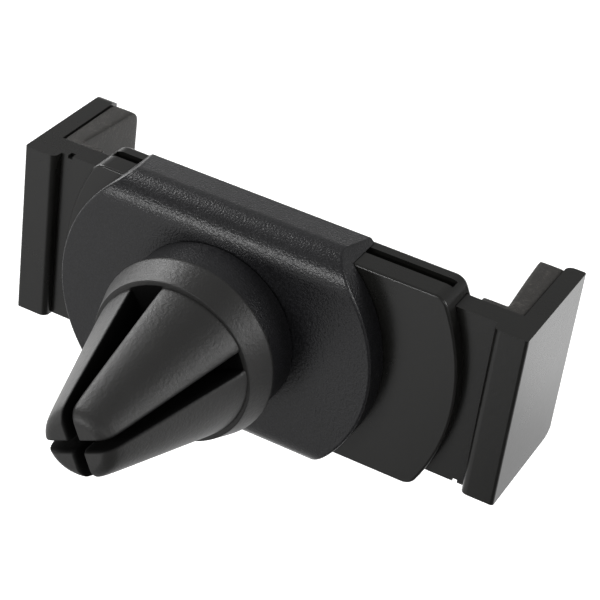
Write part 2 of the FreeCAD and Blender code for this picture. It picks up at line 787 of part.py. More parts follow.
# Sleeve screws: countersunk behind the cover, one each side of the pinion
screw_head_back = sleeve_back_face + size.screw_head_sink
for side, label in ((-1, "sleeve_screw_left"), (1, "sleeve_screw_right")):
    fastener = new_body(label)
    ring_profile(fastener, [
        (0, screw_head_back),
        (size.sleeve_screw_head_flat, screw_head_back),
        (size.sleeve_screw_head_radius, screw_head_back + size.sleeve_screw_head_height / 2),
        (size.sleeve_screw_head_radius, screw_seat),
        (size.sleeve_screw_radius, screw_seat),
        (size.sleeve_screw_radius, screw_end),
        (0, screw_end),
    ])
    fastener.setExpression("Placement.Base.x", (size.sleeve_shift + side * size.boss_distance).formula)

# Pinion: twelve involute teeth between the two racks
pitch_radius = size.pitch_radius
tooth_pitch = 2 * math.pi * pitch_radius / PINION_TEETH
base_radius = pitch_radius * cosine(size.pressure_angle)
tip_radius = pitch_radius + size.pinion_tip
gear_root_radius = pitch_radius - size.tooth_root
DEGREES = 180 / math.pi


def involute(angle):
    """The involute function, in degrees, of an angle in degrees."""
    return tangent(angle) * DEGREES - angle


tooth_half_pitch = (tooth_pitch / 2 - size.tooth_play) / (2 * pitch_radius) * DEGREES
tooth_half_base = tooth_half_pitch + involute(size.pressure_angle)
tooth_half_tip = tooth_half_base - involute(arc_cosine(base_radius / tip_radius))
half_step = 180 / PINION_TEETH
space_base = half_step - tooth_half_base
space_tip = half_step - tooth_half_tip
tip_curvature = root(tip_radius * tip_radius - base_radius * base_radius)
flank_radius = tip_curvature * FLANK_SHARE


def at_angle(radius, degrees):
    """A point of the gear, seen from the top of its first tooth space."""
    return (radius * sine(degrees), radius * cosine(degrees))


pinion = new_body("pinion")
pinion_low = cavity_back + size.pinion_seat
pinion_thickness = post_length - 2 * size.pinion_seat - size.pinion_washer_thickness
blank = sketch_on(pinion, "blank", "XZ", pinion_low)
circle(blank, 0, 0, tip_radius)
extrude(pinion, "Pad", "gear_blank", blank, pinion_thickness, 1)
space = sketch_on(pinion, "space", "XZ", pinion_low)
outer = tip_radius + BEYOND
outline(space, [
    at_angle(gear_root_radius, -space_base * ROOT_SHARE),
    at_angle(gear_root_radius, space_base * ROOT_SHARE),
    at_angle(base_radius, space_base) + (flank_radius, HOLLOW),
    at_angle(tip_radius, space_tip),
    at_angle(outer, space_tip),
    at_angle(outer, -space_tip),
    at_angle(tip_radius, -space_tip) + (flank_radius, HOLLOW),
    at_angle(base_radius, -space_base),
])
first_space = extrude(pinion, "Pocket", "tooth_space", space, None, 1)
repeat_in_circle(pinion, "tooth_spaces", first_space, space, PINION_TEETH)
bore = sketch_on(pinion, "pinion_bore", "XZ", pinion_low)
circle(bore, 0, 0, size.pinion_bore_radius)
extrude(pinion, "Pocket", "bore_hole", bore, None, 1)
pinion.Placement.Rotation = FreeCAD.Rotation(FreeCAD.Vector(0, 1, 0), half_step)

washer_low = pinion_low + pinion_thickness + size.pinion_seat
ring_profile(new_body("pinion_washer"), [
    (size.pinion_bore_radius, washer_low),
    (size.pinion_washer_radius, washer_low),
    (size.pinion_washer_radius, washer_low + size.pinion_washer_thickness),
    (size.pinion_bore_radius, washer_low + size.pinion_washer_thickness),
])

# Jaws: the same moulding on both sides, turned half round about Y for the left one
wall_inside = sleeve_apex + size.arm_shown
jaw_reach = wall_inside + size.jaw_wall
strip_inside = jaw_reach - size.strip_width
rack_root = pitch_radius + size.tooth_root
rack_crest = pitch_radius - size.rack_tip
flank_slope = tangent(size.pressure_angle)
tooth_half = (tooth_pitch / 2 - size.tooth_play) / 2
crest_half = tooth_half - size.rack_tip * flank_slope
foot_half = tooth_half + (size.tooth_root + size.tooth_foot) * flank_slope
peg_y = arm_front + size.peg_height
first_tooth = -FIRST_TOOTH * tooth_pitch
bar_end = foot_half + size.bar_beyond_teeth - first_tooth
plate_start = bar_end + size.bar_clearance


def round_low_corner(body, tip, half, radius):
    """Cuts the lower corner of a wall's tip to an arc, across the whole wall."""
    cut = sketch_on(body, body.Label + "_low_corner", "YZ")
    outline(cut, [
        (tip - radius, -half - BEYOND),
        (tip + BEYOND, -half - BEYOND),
        (tip + BEYOND, radius - half),
        (tip, radius - half, radius, HOLLOW),
        (tip - radius, -half),
    ])
    extrude(body, "Pocket", body.Label + "_corner_round", cut, None, 0)


def make_jaw(label):
    jaw = new_body(label)
    profile = sketch_on(jaw, label + "_profile", "XY")
    outline(profile, [
        (plate_start, arm_back),
        (strip_inside, arm_back),
        (strip_inside, strip_back + size.strip_inner_round, size.strip_inner_round, CONVEX),
        (strip_inside + size.strip_inner_round, strip_back),
        (jaw_reach - size.strip_outer_round, strip_back, size.strip_outer_round, CONVEX),
        (jaw_reach, strip_back + size.strip_outer_round),
        (jaw_reach, jaw_tip - size.tip_outer_round, size.tip_outer_round, CONVEX),
        (jaw_reach - size.tip_outer_round, jaw_tip),
        (wall_inside + size.tip_inner_round, jaw_tip, size.tip_inner_round, CONVEX),
        (wall_inside, jaw_tip - size.tip_inner_round),
        (wall_inside, arm_front),
        (plate_start, arm_front),
    ])
    extrude(jaw, "Pad", label + "_hook", profile, 2 * jaw_half, 0)
    round_low_corner(jaw, jaw_tip, jaw_half, size.tip_corner)
    bar = sketch_on(jaw, label + "_bar", "XZ", arm_back)
    rectangle(bar, -bar_end, plate_start + BEYOND, rack_root, jaw_half)
    extrude(jaw, "Pad", label + "_rack_bar", bar, size.arm_thickness, 1)
    tooth = sketch_on(jaw, label + "_tooth", "XZ", arm_back)
    outline(tooth, [
        (first_tooth - foot_half, rack_root + size.tooth_foot), (first_tooth - crest_half, rack_crest),
        (first_tooth + crest_half, rack_crest), (first_tooth + foot_half, rack_root + size.tooth_foot),
    ])
    first = extrude(jaw, "Pad", label + "_first_tooth", tooth, size.arm_thickness, 1)
    repeat_in_line(jaw, label + "_teeth", first, tooth, tooth_pitch, RACK_TEETH)
    notch = sketch_on(jaw, label + "_notch", "XZ", arm_back)
    notch_start = sleeve_apex + size.notch_from_sleeve
    rectangle(notch, notch_start, notch_start + size.notch_width,
              -jaw_half - BEYOND, size.notch_depth - jaw_half)
    extrude(jaw, "Pocket", label + "_gate_notch", notch, size.notch_thickness, 1)
    peg_holes = sketch_on(jaw, label + "_peg_holes", "YZ", wall_inside)
    for end in (-1, 1):
        circle(peg_holes, peg_y, end * size.peg_spread / 2, size.peg_radius + size.peg_fit)
    extrude(jaw, "Pocket", label + "_peg_sockets", peg_holes, size.peg_length + size.peg_fit, 1)
    return jaw


def make_pad(label):
    """A soft angle piece: an upright that leans in towards its tip, and a leg that lies on the arm."""
    pad = new_body(label)
    root_face = wall_inside - size.pad_root_thickness
    tip_face = wall_inside - size.pad_tip_thickness
    lean = (root_face - tip_face) / (pad_tip - arm_front)
    corner_face = root_face - lean * (size.pad_leg_thickness + size.pad_inner_round)
    leg_radius = size.sleeve_end_radius + size.pad_leg_gap
    leg_start = end_outline(sleeve_apex + size.pad_leg_gap, leg_radius, pad_half + BEYOND)
    profile = sketch_on(pad, label + "_profile", "XY")
    outline(profile, [
        (leg_start, arm_front),
        (wall_inside, arm_front),
        (wall_inside, pad_tip),
        (tip_face, pad_tip),
        (corner_face, pad_leg_front + size.pad_inner_round, size.pad_inner_round, HOLLOW),
        (corner_face - size.pad_inner_round, pad_leg_front),
        (leg_start, pad_leg_front),
    ])
    extrude(pad, "Pad", label + "_angle", profile, 2 * pad_half, 0)
    round_low_corner(pad, pad_tip, pad_half, size.pad_corner)
    leg_end = sketch_on(pad, label + "_leg_end", "XZ", arm_front)
    outline(leg_end, [
        (leg_start - BEYOND, -pad_half - BEYOND),
        (leg_start, -pad_half - BEYOND, leg_radius, CONVEX),
        (leg_start, pad_half + BEYOND),
        (leg_start - BEYOND, pad_half + BEYOND),
    ])
    extrude(pad, "Pocket", label + "_leg_arc", leg_end, size.pad_leg_thickness, 1)
    round_edges(pad, label + "_face_rounds", size.pad_side_round,
                lies(x=(tip_face, corner_face), y=(pad_leg_front + size.pad_inner_round, pad_tip)))
    pegs = sketch_on(pad, label + "_pegs", "YZ", wall_inside)
    for end in (-1, 1):
        circle(pegs, peg_y, end * size.peg_spread / 2, size.peg_radius)
    extrude(pad, "Pad", label + "_peg_pair", pegs, size.peg_length, 1)
    return pad


right_pieces = [make_jaw("right_jaw"), make_pad("right_pad")]
left_pieces = [make_jaw("left_jaw"), make_pad("left_pad")]
for piece in left_pieces:
    piece.Placement.Rotation = FreeCAD.Rotation(FreeCAD.Vector(0, 1, 0), 180)

# Places in the whole: the sleeve and all that it holds sit off centre in the cover
carried = ["sleeve_back", "sleeve_front", "pinion", "pinion_washer"]
for body in bodies:
    if body.Label in carried or body in right_pieces + left_pieces:
        body.setExpression("Placement.Base.x", size.sleeve_shift.formula)

# The clip's slots stand at an angle to the cover
tilt_axis = FreeCAD.Vector(0, -1, 0)
clip.Placement.Rotation = FreeCAD.Rotation(tilt_axis, size.clip_tilt.value)
clip.setExpression("Placement.Rotation.Angle", f"{size.clip_tilt.formula} * 1 deg")
doc.recompute()

for feature in doc.Objects:
    if "Invalid" in feature.State or "Error" in feature.State:
        raise RuntimeError(f"{feature.Label} failed: {feature.State}")
for body in bodies:
    shape = body.Shape
    if shape.isNull() or not shape.isValid() or len(shape.Solids) != 1:
        raise RuntimeError(f"{body.Label} is not one sound solid")

os.makedirs("parts", exist_ok=True)
for body in bodies:
    body.Shape.exportStep(f"parts/{body.Label}.step")
    box = body.Shape.BoundBox
    print(f"{body.Label}: {box.XLength:.2f} x {box.YLength:.2f} x {box.ZLength:.2f} mm, "
          f"{body.Shape.Volume:.1f} mm3")
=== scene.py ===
import math

import bmesh
import bpy
from mathutils import Matrix, Vector


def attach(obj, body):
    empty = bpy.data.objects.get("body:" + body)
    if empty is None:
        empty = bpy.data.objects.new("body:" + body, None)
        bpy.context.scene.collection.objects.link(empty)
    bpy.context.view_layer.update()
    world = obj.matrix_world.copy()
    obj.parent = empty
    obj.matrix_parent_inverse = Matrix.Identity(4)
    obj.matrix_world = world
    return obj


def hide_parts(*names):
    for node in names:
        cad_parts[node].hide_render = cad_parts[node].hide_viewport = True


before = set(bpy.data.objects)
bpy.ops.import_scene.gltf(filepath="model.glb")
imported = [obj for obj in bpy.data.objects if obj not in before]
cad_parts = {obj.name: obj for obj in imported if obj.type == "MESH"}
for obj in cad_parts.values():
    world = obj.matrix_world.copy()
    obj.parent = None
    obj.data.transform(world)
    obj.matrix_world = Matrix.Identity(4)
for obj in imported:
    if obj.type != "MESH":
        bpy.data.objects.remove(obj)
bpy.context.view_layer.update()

MM = 0.001


# The vent clip is one moulding of firm rubber: a flange with four prongs that taper to the tip and
# are cut apart by a wide and a narrow slot. Its skin is satin, with every edge a little soft; the
# walls of the slots and the flange face between them are painted dull black as shade.
FLANGE_PROFILE = [(0.0, 0.0), (13.0, 0.0), (14.44, 4.1), (14.44, 4.6), (13.94, 5.1), (10.85, 5.1),
                  (10.85, 1.75), (0.0, 1.75)]
FLANGE_EDGE = 0.14
FLANGE_STEPS = 72
AXIS_REACH = 0.001
ROOT_OVAL = (12.85, 12.25)
NOSE_OVAL = (5.55, 5.35)
OVAL_STEPS = 8
SLOT_HALVES_AT_ROOT = (2.475, 1.25)
SLOT_HALVES_AT_NOSE = (0.575, 0.55)
PRONG_LENGTH = 24.4
PRONG_DEPTHS = (0.0, 8.0, 16.0)
PRONG_SUNK = 0.6
PRONG_CORNER = 0.7
NOSE_ROUND = 1.9
NOSE_TURNS = (30, 60, 80, 90)
NOSE_SLOT_SHARE = 0.3
CLIP_TILT = math.radians(25.0)
CLIP_SOFTNESS = 2
RUBBER_DARK = (0.0150, 0.0147, 0.0142)
RUBBER_LIGHT = (0.0220, 0.0215, 0.0205)
RUBBER_FINE = (1900.0, 3.0, 0.6)
RUBBER_CLOUD = (160.0, 3.0)
RUBBER_RELIEF = 0.12 * MM
# Painted shade in the slots: a dull black surface, and the edges of the slot walls, flange face and radius
# where it gives way to the skin.
SLOT_PAINTED_SHADE = (0.0030, 0.0030, 0.0030, 1.0)
SLOT_ROUGHNESS = 0.9
SLOT_SHINE = 0.08
SHADE_PAST_WALL = (0.1 * MM, 0.7 * MM)
SHADE_PAST_FACE = (0.1 * MM, 0.4 * MM)
SHADE_RADIUS = (12.2 * MM, 12.4 * MM)


class Tone:
    """A shader socket that can be added, multiplied and compared, alone or with numbers."""

    def __init__(self, tree, socket=None):
        self.tree = tree
        self.socket = socket

    def make(self, kind, inputs=None, output=0, **settings):
        """A new node of the tree, its settings put in first, and one of its outputs."""
        node = self.tree.nodes.new(kind)
        for name, value in settings.items():
            setattr(node, name, value)
        for name, value in (inputs or {}).items():
            if isinstance(value, Tone):
                self.tree.links.new(value.socket, node.inputs[name])
            else:
                node.inputs[name].default_value = value
        return Tone(self.tree, node.outputs[output])

    def other(self, name):
        """Another output of the same node."""
        return Tone(self.tree, self.socket.node.outputs[name])

    def math(self, operation, *terms):
        return self.make("ShaderNodeMath", dict(enumerate(terms)), operation=operation)

    def __add__(self, other):
        return self.math("ADD", self, other)

    def __radd__(self, other):
        return self.math("ADD", other, self)

    def __sub__(self, other):
        return self.math("SUBTRACT", self, other)

    def __rsub__(self, other):
        return self.math("SUBTRACT", other, self)

    def __mul__(self, other):
        return self.math("MULTIPLY", self, other)

    def __rmul__(self, other):
        return self.math("MULTIPLY", other, self)

    def __abs__(self):
        return self.math("ABSOLUTE", self)

    def or_more(self, other):
        return self.math("MAXIMUM", self, other)

    def between(self, low, high):
        """0 below low, 1 above high and smooth between them."""
        return self.make("ShaderNodeMapRange", {"Value": self, "From Min": low, "From Max": high},
                         interpolation_type="SMOOTHSTEP")


def new_finish(name):
    """A material with a Principled surface, and its starting points."""
    material = bpy.data.materials.new(name)
    material.use_nodes = True
    tree = material.node_tree
    surface = tree.nodes["Principled BSDF"]
    start = Tone(tree)
    place = start.make("ShaderNodeTexCoord", output="Object")
    return material, surface, start, place


def feed(surface, **values):
    """Sets or links the surface's sockets; an underscore stands for a space."""
    for name, value in values.items():
        socket = surface.inputs[name.replace("_", " ")]
        if isinstance(value, Tone):
            value.tree.links.new(value.socket, socket)
        else:
            socket.default_value = value


def mixed(start, share, dark, light):
    """A colour that goes from dark to light as the share goes from 0 to 1."""
    return start.make("ShaderNodeMix", {"Factor": share, "A": (*dark, 1.0), "B": (*light, 1.0)}, output=2,
                      data_type="RGBA")


def noise(start, place, scale, detail=2.0, roughness=0.5):
    """Noise from 0 to 1 whose spots are about 1/scale of a metre across."""
    return start.make("ShaderNodeTexNoise", {"Vector": place, "Scale": scale, "Detail": detail,
                                             "Roughness": roughness})


def bumped(start, height, distance, strength=0.5):
    """A normal that stands for a relief; the distance is its depth in metres."""
    return start.make("ShaderNodeBump", {"Height": height, "Distance": distance, "Strength": strength})


def add_piece(name, work, material, body, node, levels):
    """A finished bmesh in millimetres as a soft, smooth object that stands for its plain node."""
    bmesh.ops.scale(work, vec=(MM, MM, MM), verts=work.verts)
    bmesh.ops.recalc_face_normals(work, faces=work.faces)
    for face in work.faces:
        face.smooth = True
    mesh = bpy.data.meshes.new(name)
    work.to_mesh(mesh)
    work.free()
    piece = bpy.data.objects.new(name, mesh)
    bpy.context.collection.objects.link(piece)
    mesh.materials.append(material)
    soft = piece.modifiers.new("soften", "SUBSURF")
    soft.levels = levels
    soft.render_levels = levels
    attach(piece, body)
    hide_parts(node)


def prong_section(depth, inset):
    """Half slot widths and oval radii at a depth in front of the flange, drawn in by an inset."""
    share = depth / PRONG_LENGTH
    halves = [at_root + (at_nose - at_root) * share + inset * NOSE_SLOT_SHARE
              for at_root, at_nose in zip(SLOT_HALVES_AT_ROOT, SLOT_HALVES_AT_NOSE)]
    radii = [at_root + (at_nose - at_root) * share - inset
             for at_root, at_nose in zip(ROOT_OVAL, NOSE_OVAL)]
    return halves, radii


def draw_out(work, face, before, after, forward):
    """Extrudes a section of the prong and fits it to the next one."""
    grown = bmesh.ops.extrude_face_region(work, geom=[face])
    work.faces.remove(face)
    end = [item for item in grown["geom"] if isinstance(item, bmesh.types.BMFace)][0]
    (half_x, half_z), (radius_x, radius_z) = before
    (next_half_x, next_half_z), (next_radius_x, next_radius_z) = after
    shares = ((next_radius_x - next_half_x) / (radius_x - half_x), 1.0,
              (next_radius_z - next_half_z) / (radius_z - half_z))
    corner = Matrix.Translation((-half_x, 0.0, -half_z))
    bmesh.ops.scale(work, vec=shares, space=corner, verts=end.verts)
    bmesh.ops.translate(work, vec=(next_half_x - half_x, -forward, next_half_z - half_z), verts=end.verts)
    return end


def is_ring(edge):
    """True for an edge of the flange that runs round its axis."""
    ends = [(round(math.hypot(vert.co.x, vert.co.z), 3), round(vert.co.y, 3)) for vert in edge.verts]
    return ends[0] == ends[1] and ends[0] in FLANGE_PROFILE


clip_mesh = bmesh.new()
section = prong_section(0.0, 0.0)
(half_x, half_z), (radius_x, radius_z) = section
first_angle = math.asin(half_z / radius_z)
last_angle = math.acos(half_x / radius_x)
angles = [first_angle + (last_angle - first_angle) * step / OVAL_STEPS for step in range(OVAL_STEPS + 1)]
corners = [(half_x, half_z)] + [(radius_x * math.cos(angle), radius_z * math.sin(angle)) for angle in angles]
ring = [clip_mesh.verts.new((x, PRONG_SUNK, z)) for x, z in corners]
clip_mesh.faces.new(ring)
bmesh.ops.bevel(clip_mesh, geom=[ring[0], ring[1], ring[-1]], offset=PRONG_CORNER, segments=2, profile=0.5,
                affect="VERTICES", material=-1)
end = list(clip_mesh.faces)[0]
depth = -PRONG_SUNK
stops = [(straight, 0.0) for straight in (*PRONG_DEPTHS, PRONG_LENGTH - NOSE_ROUND)]
for turn in NOSE_TURNS:
    swing = math.radians(turn)
    stops.append((PRONG_LENGTH - NOSE_ROUND * (1 - math.sin(swing)), NOSE_ROUND * (1 - math.cos(swing))))
for next_depth, inset in stops:
    following = prong_section(next_depth, inset)
    end = draw_out(clip_mesh, end, section, following, next_depth - depth)
    section = following
    depth = next_depth
for axis in ("X", "Z"):
    bmesh.ops.mirror(clip_mesh, geom=clip_mesh.verts[:] + clip_mesh.edges[:] + clip_mesh.faces[:],
                     merge_dist=-1.0, axis=axis)

profile = [clip_mesh.verts.new((radius, height, 0.0)) for radius, height in FLANGE_PROFILE]
walls = [clip_mesh.edges.new(pair) for pair in zip(profile, profile[1:])]
bmesh.ops.spin(clip_mesh, geom=profile + walls, axis=(0, 1, 0), cent=(0, 0, 0), dvec=(0, 0, 0),
               angle=2 * math.pi, steps=FLANGE_STEPS, use_merge=True, use_duplicate=False)
on_axis = [vert for vert in clip_mesh.verts if abs(vert.co.x) < AXIS_REACH and abs(vert.co.z) < AXIS_REACH]
bmesh.ops.remove_doubles(clip_mesh, verts=on_axis, dist=AXIS_REACH / 2)
bmesh.ops.bevel(clip_mesh, geom=[edge for edge in clip_mesh.edges if is_ring(edge)], offset=FLANGE_EDGE,
                segments=2, profile=0.5, affect="EDGES", material=-1)
bmesh.ops.rotate(clip_mesh, cent=(0, 0, 0), matrix=Matrix.Rotation(CLIP_TILT, 3, (0, -1, 0)),
                 verts=clip_mesh.verts)

clip_rubber, surface, start, place = new_finish("clip_rubber")
fine = noise(start, place, *RUBBER_FINE)
cloud = noise(start, place, *RUBBER_CLOUD)
feed(surface, Base_Color=mixed(start, cloud, RUBBER_DARK, RUBBER_LIGHT),
     Roughness=0.36 + cloud * 0.08 + fine * 0.08, Normal=bumped(start, fine, RUBBER_RELIEF))
# Painted shade: in the slots, on their walls and on the flange face between the prongs, the skin gives way
# to a dull black surface.
upright = start.make("ShaderNodeVectorRotate", {"Vector": place, "Axis": (0.0, 1.0, 0.0),
                                                "Angle": CLIP_TILT})
parts = start.make("ShaderNodeSeparateXYZ", {"Vector": upright})
height = parts.other("Y")
past_walls = 1.0
for letter, at_root, at_nose in zip("XZ", SLOT_HALVES_AT_ROOT, SLOT_HALVES_AT_NOSE):
    half = at_root * MM + height * ((at_root - at_nose) / PRONG_LENGTH)
    past_walls = past_walls * (abs(parts.other(letter)) - half).between(*SHADE_PAST_WALL)
spread = start.make("ShaderNodeVectorMath", {0: upright, 1: (1.0, 0.0, 1.0)}, operation="MULTIPLY")
radius = start.make("ShaderNodeVectorMath", {0: spread}, output="Value", operation="LENGTH")
unshaded = height.between(*SHADE_PAST_FACE).or_more(past_walls).or_more(radius.between(*SHADE_RADIUS))
painted_shade = start.make("ShaderNodeBsdfPrincipled", {"Base Color": SLOT_PAINTED_SHADE, "Roughness": SLOT_ROUGHNESS,
                                               "Specular IOR Level": SLOT_SHINE})
skin_with_painted_shade = start.make("ShaderNodeMixShader", {0: unshaded, 1: painted_shade, 2: Tone(start.tree, surface.outputs["BSDF"])})
start.tree.links.new(skin_with_painted_shade.socket, start.tree.nodes["Material Output"].inputs["Surface"])
add_piece("rubber_clip", clip_mesh, clip_rubber, "clip", "vent_clip", CLIP_SOFTNESS)

# Inside the clip, the cover and the sleeve: a hard black core, plated screws and washers, and
# springs of tempered steel. They are moulded, turned or stamped, and only show when the holder is
# open.
CORE_DARK = (0.012, 0.012, 0.012)
CORE_LIGHT = (0.02, 0.02, 0.02)
CORE_CLOUD = (400.0,)
STEEL_DARK = (0.42, 0.42, 0.42)
STEEL_LIGHT = (0.6, 0.6, 0.6)
STEEL_CLOUD = (900.0, 4.0)


def dress(material, *nodes):
    """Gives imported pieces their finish."""
    for node in nodes:
        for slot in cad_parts[node].material_slots:
            slot.material = material


core_plastic, surface, start, place = new_finish("core_plastic")
cloud = noise(start, place, *CORE_CLOUD)
feed(surface, Base_Color=mixed(start, cloud, CORE_DARK, CORE_LIGHT), Roughness=0.4 + cloud * 0.1)
dress(core_plastic, "clip_core")
steel, surface, start, place = new_finish("steel")
cloud = noise(start, place, *STEEL_CLOUD)
feed(surface, Base_Color=mixed(start, cloud, STEEL_DARK, STEEL_LIGHT), Roughness=0.25 + cloud * 0.2,
     Metallic=1.0)
dress(steel, "pivot_screw", "pivot_washer", "spring_washer", "brake_spring_left", "brake_spring_right",
      "sleeve_screw_left", "sleeve_screw_right")

# The collar and the cover are moulded in hard black plastic, in a tool with a fine grain that
# sparkles where the light runs along a rounding.
GRAIN_DARK = (0.0085, 0.0085, 0.0096)
GRAIN_LIGHT = (0.0150, 0.0150, 0.0168)
GRAIN_FINE = (3300.0, 1.0, 0.6)
GRAIN_CLOUD = (90.0,)
GRAIN_RANGE = (0.35, 0.7)
GRAIN_RELIEF = 0.13 * MM
grained_plastic, surface, start, place = new_finish("grained_plastic")
grain = noise(start, place, *GRAIN_FINE)
cloud = noise(start, place, *GRAIN_CLOUD)
feed(surface, Base_Color=mixed(start, grain.between(*GRAIN_RANGE), GRAIN_DARK, GRAIN_LIGHT),
     Roughness=0.22 + grain * 0.18 + cloud * 0.04, Normal=bumped(start, grain, GRAIN_RELIEF))
dress(grained_plastic, "back_cover", "collar")

# The sleeve's two halves and the jaws are moulded in the same plastic, in a smoother tool: satin,
# with a faint cloud in it.
SATIN_DARK = (0.0080, 0.0079, 0.0070)
SATIN_LIGHT = (0.0110, 0.0109, 0.0100)
SATIN_FINE = (1500.0, 2.0)
SATIN_CLOUD = (60.0, 3.0)
SATIN_RELIEF = 0.03 * MM
satin_plastic, surface, start, place = new_finish("satin_plastic")
fine = noise(start, place, *SATIN_FINE)
cloud = noise(start, place, *SATIN_CLOUD)
feed(surface, Base_Color=mixed(start, cloud, SATIN_DARK, SATIN_LIGHT),
     Roughness=0.24 + cloud * 0.06 + fine * 0.03, Normal=bumped(start, fine, SATIN_RELIEF, strength=0.4))
dress(satin_plastic, "sleeve_back", "sleeve_front", "left_jaw", "right_jaw")

# The pinion and its washer are moulded in pale, slippery plastic, the one plastic that isn't black.
# They only show when the sleeve is open.
GEAR_DARK = (0.62, 0.60, 0.54)
GEAR_LIGHT = (0.72, 0.70, 0.64)
GEAR_CLOUD = (300.0,)
gear_plastic, surface, start, place = new_finish("gear_plastic")
cloud = noise(start, place, *GEAR_CLOUD)
feed(surface, Base_Color=mixed(start, cloud, GEAR_DARK, GEAR_LIGHT), Roughness=0.35 + cloud * 0.1)
dress(gear_plastic, "pinion", "pinion_washer")

# The pads are soft rubber angles pressed into each jaw by two pegs: an upright that leans in to the
# phone, and a short leg on the arm whose end follows the sleeve. Their skin is matt and speckled.
SLEEVE_SHIFT = 4.65
PAD_BACK = 38.7
PAD_FOOT = 22.05
PAD_TIP = 37.65
PAD_HALF = 14.4
PAD_SLICES = 12
PAD_CORNER = 2.0
PAD_EDGE = 0.38
LEG_FRONT = 23.45
LEG_APEX = 34.8
LEG_ARC = 35.45
LEG_FALL = 3.0
LEG_START = LEG_APEX - LEG_FALL
LEG_SUPPORT = 0.8
ROOT_THICKNESS = 3.1
TIP_THICKNESS = 4.1
PAD_CROWN = 0.08
ROW_SHARES = (0.06, 0.5, 0.8, 1.0)
TOUCH = 0.01
SHARP_ANGLE = 0.7
PEG_RADIUS = 1.5
PEG_LENGTH = 1.5
PEG_SIDES = 24
PEG_SUNK = 0.1
PEG_PLACE = 29.95
PEG_SPREAD = 16.0
PAD_DARK = (0.0260, 0.0243, 0.0220)
PAD_LIGHT = (0.0850, 0.0790, 0.0710)
PAD_SPECK = (1700.0, 4.0, 0.7)
PAD_PATCH = (260.0, 3.0, 0.6)
SPECK_RANGE = (0.45, 0.72)
PATCH_RANGE = (0.3, 0.7)
PAD_RELIEF = 0.18 * MM
PAD_SOFTNESS = 1
pad_rubber, surface, start, place = new_finish("pad_rubber")
speck = noise(start, place, *PAD_SPECK)
patch = noise(start, place, *PAD_PATCH)
speckled = speck.between(*SPECK_RANGE) * patch.between(*PATCH_RANGE)
feed(surface, Base_Color=mixed(start, speckled, PAD_DARK, PAD_LIGHT), Roughness=0.52 + speck * 0.2,
     Normal=bumped(start, speck, PAD_RELIEF))


def make_pad(name, body, node, turned):
    """An angle piece, made on the right side and turned half round for the left one."""
    work = bmesh.new()
    foot = PAD_BACK - ROOT_THICKNESS
    rows = [[(x, y) for x in (LEG_START, foot - LEG_SUPPORT, foot, PAD_BACK)] for y in (PAD_FOOT, LEG_FRONT)]
    for share in ROW_SHARES:
        thickness = ROOT_THICKNESS + (TIP_THICKNESS - ROOT_THICKNESS) * share
        crown = 4 * PAD_CROWN * share * (1 - share)
        rows.append([(x, LEG_FRONT + (PAD_TIP - LEG_FRONT) * share)
                     for x in (PAD_BACK - thickness - crown, PAD_BACK)])
    points = [[work.verts.new((x, y, -PAD_HALF)) for x, y in row] for row in rows]
    section = []
    for low, high in zip(points, points[1:]):
        low = low[-len(high):]
        section += [work.faces.new([low[at], low[at + 1], high[at + 1], high[at]])
                    for at in range(len(high) - 1)]
    bmesh.ops.spin(work, geom=section, axis=(0, 0, 1), cent=(0, 0, 0), angle=0, steps=PAD_SLICES,
                   dvec=(0, 0, 2 * PAD_HALF / PAD_SLICES), use_merge=False, use_duplicate=False)
    bmesh.ops.recalc_face_normals(work, faces=work.faces)
    for vert in work.verts:
        if vert.co.x < LEG_START + TOUCH:
            vert.co.x = LEG_APEX - LEG_ARC + math.sqrt(LEG_ARC ** 2 - vert.co.z ** 2)
    low_corner = [edge for edge in work.edges if all(vert.co.y > PAD_TIP - TOUCH
                                                     and vert.co.z < TOUCH - PAD_HALF
                                                     for vert in edge.verts)]
    bmesh.ops.bevel(work, geom=low_corner, offset=PAD_CORNER, segments=4, profile=0.5, affect="EDGES",
                    material=-1)
    sharp = [edge for edge in work.edges if len(edge.link_faces) == 2
             and edge.calc_face_angle() > SHARP_ANGLE]
    bmesh.ops.bevel(work, geom=sharp, offset=PAD_EDGE, segments=2, profile=0.5, affect="EDGES", material=-1)
    for side in (-0.5, 0.5):
        peg = Matrix.Translation((PAD_BACK + PEG_LENGTH / 2 - PEG_SUNK, PEG_PLACE, side * PEG_SPREAD))
        bmesh.ops.create_cone(work, cap_ends=True, segments=PEG_SIDES, radius1=PEG_RADIUS,
                              radius2=PEG_RADIUS, depth=PEG_LENGTH + PEG_SUNK,
                              matrix=peg @ Matrix.Rotation(math.pi / 2, 4, "Y"))
    if turned:
        bmesh.ops.rotate(work, cent=(0, 0, 0), matrix=Matrix.Rotation(math.pi, 3, "Y"), verts=work.verts)
    bmesh.ops.translate(work, vec=(SLEEVE_SHIFT, 0, 0), verts=work.verts)
    add_piece(name, work, pad_rubber, body, node, PAD_SOFTNESS)


make_pad("pad_upright_right", "right_jaw", "right_pad", turned=False)
make_pad("pad_upright_left", "left_jaw", "left_pad", turned=True)

# The holder is shown above a plain pale floor. The floor glows only for the camera and in glossy
# and clear rays, so no soft light comes from it. Glossy rays see it bright near the left front and,
# in two steps, towards the back.
FLOOR_HEIGHT = -0.13
FLOOR_SIZE = 6.0
FLOOR_GREY = (0.9, 0.9, 0.9)
FLOOR_GLOW = 0.55
MIRRORED_GLOW = 0.10
NEAR_GLOW = 0.85
NEAR_EDGE = (-0.05, 0.05)
NEAR_DIMMED = 0.6
DIMMED_EDGE = (-0.17, -0.135)
FAR_GLOWS = ((0.02, 0.08, 0.85), (0.185, 0.225, 0.67))
floor_mesh = bpy.data.meshes.new("floor")
floor_work = bmesh.new()
bmesh.ops.create_grid(floor_work, x_segments=1, y_segments=1, size=FLOOR_SIZE / 2)
bmesh.ops.translate(floor_work, verts=floor_work.verts, vec=(0, 0, FLOOR_HEIGHT))
floor_work.to_mesh(floor_mesh)
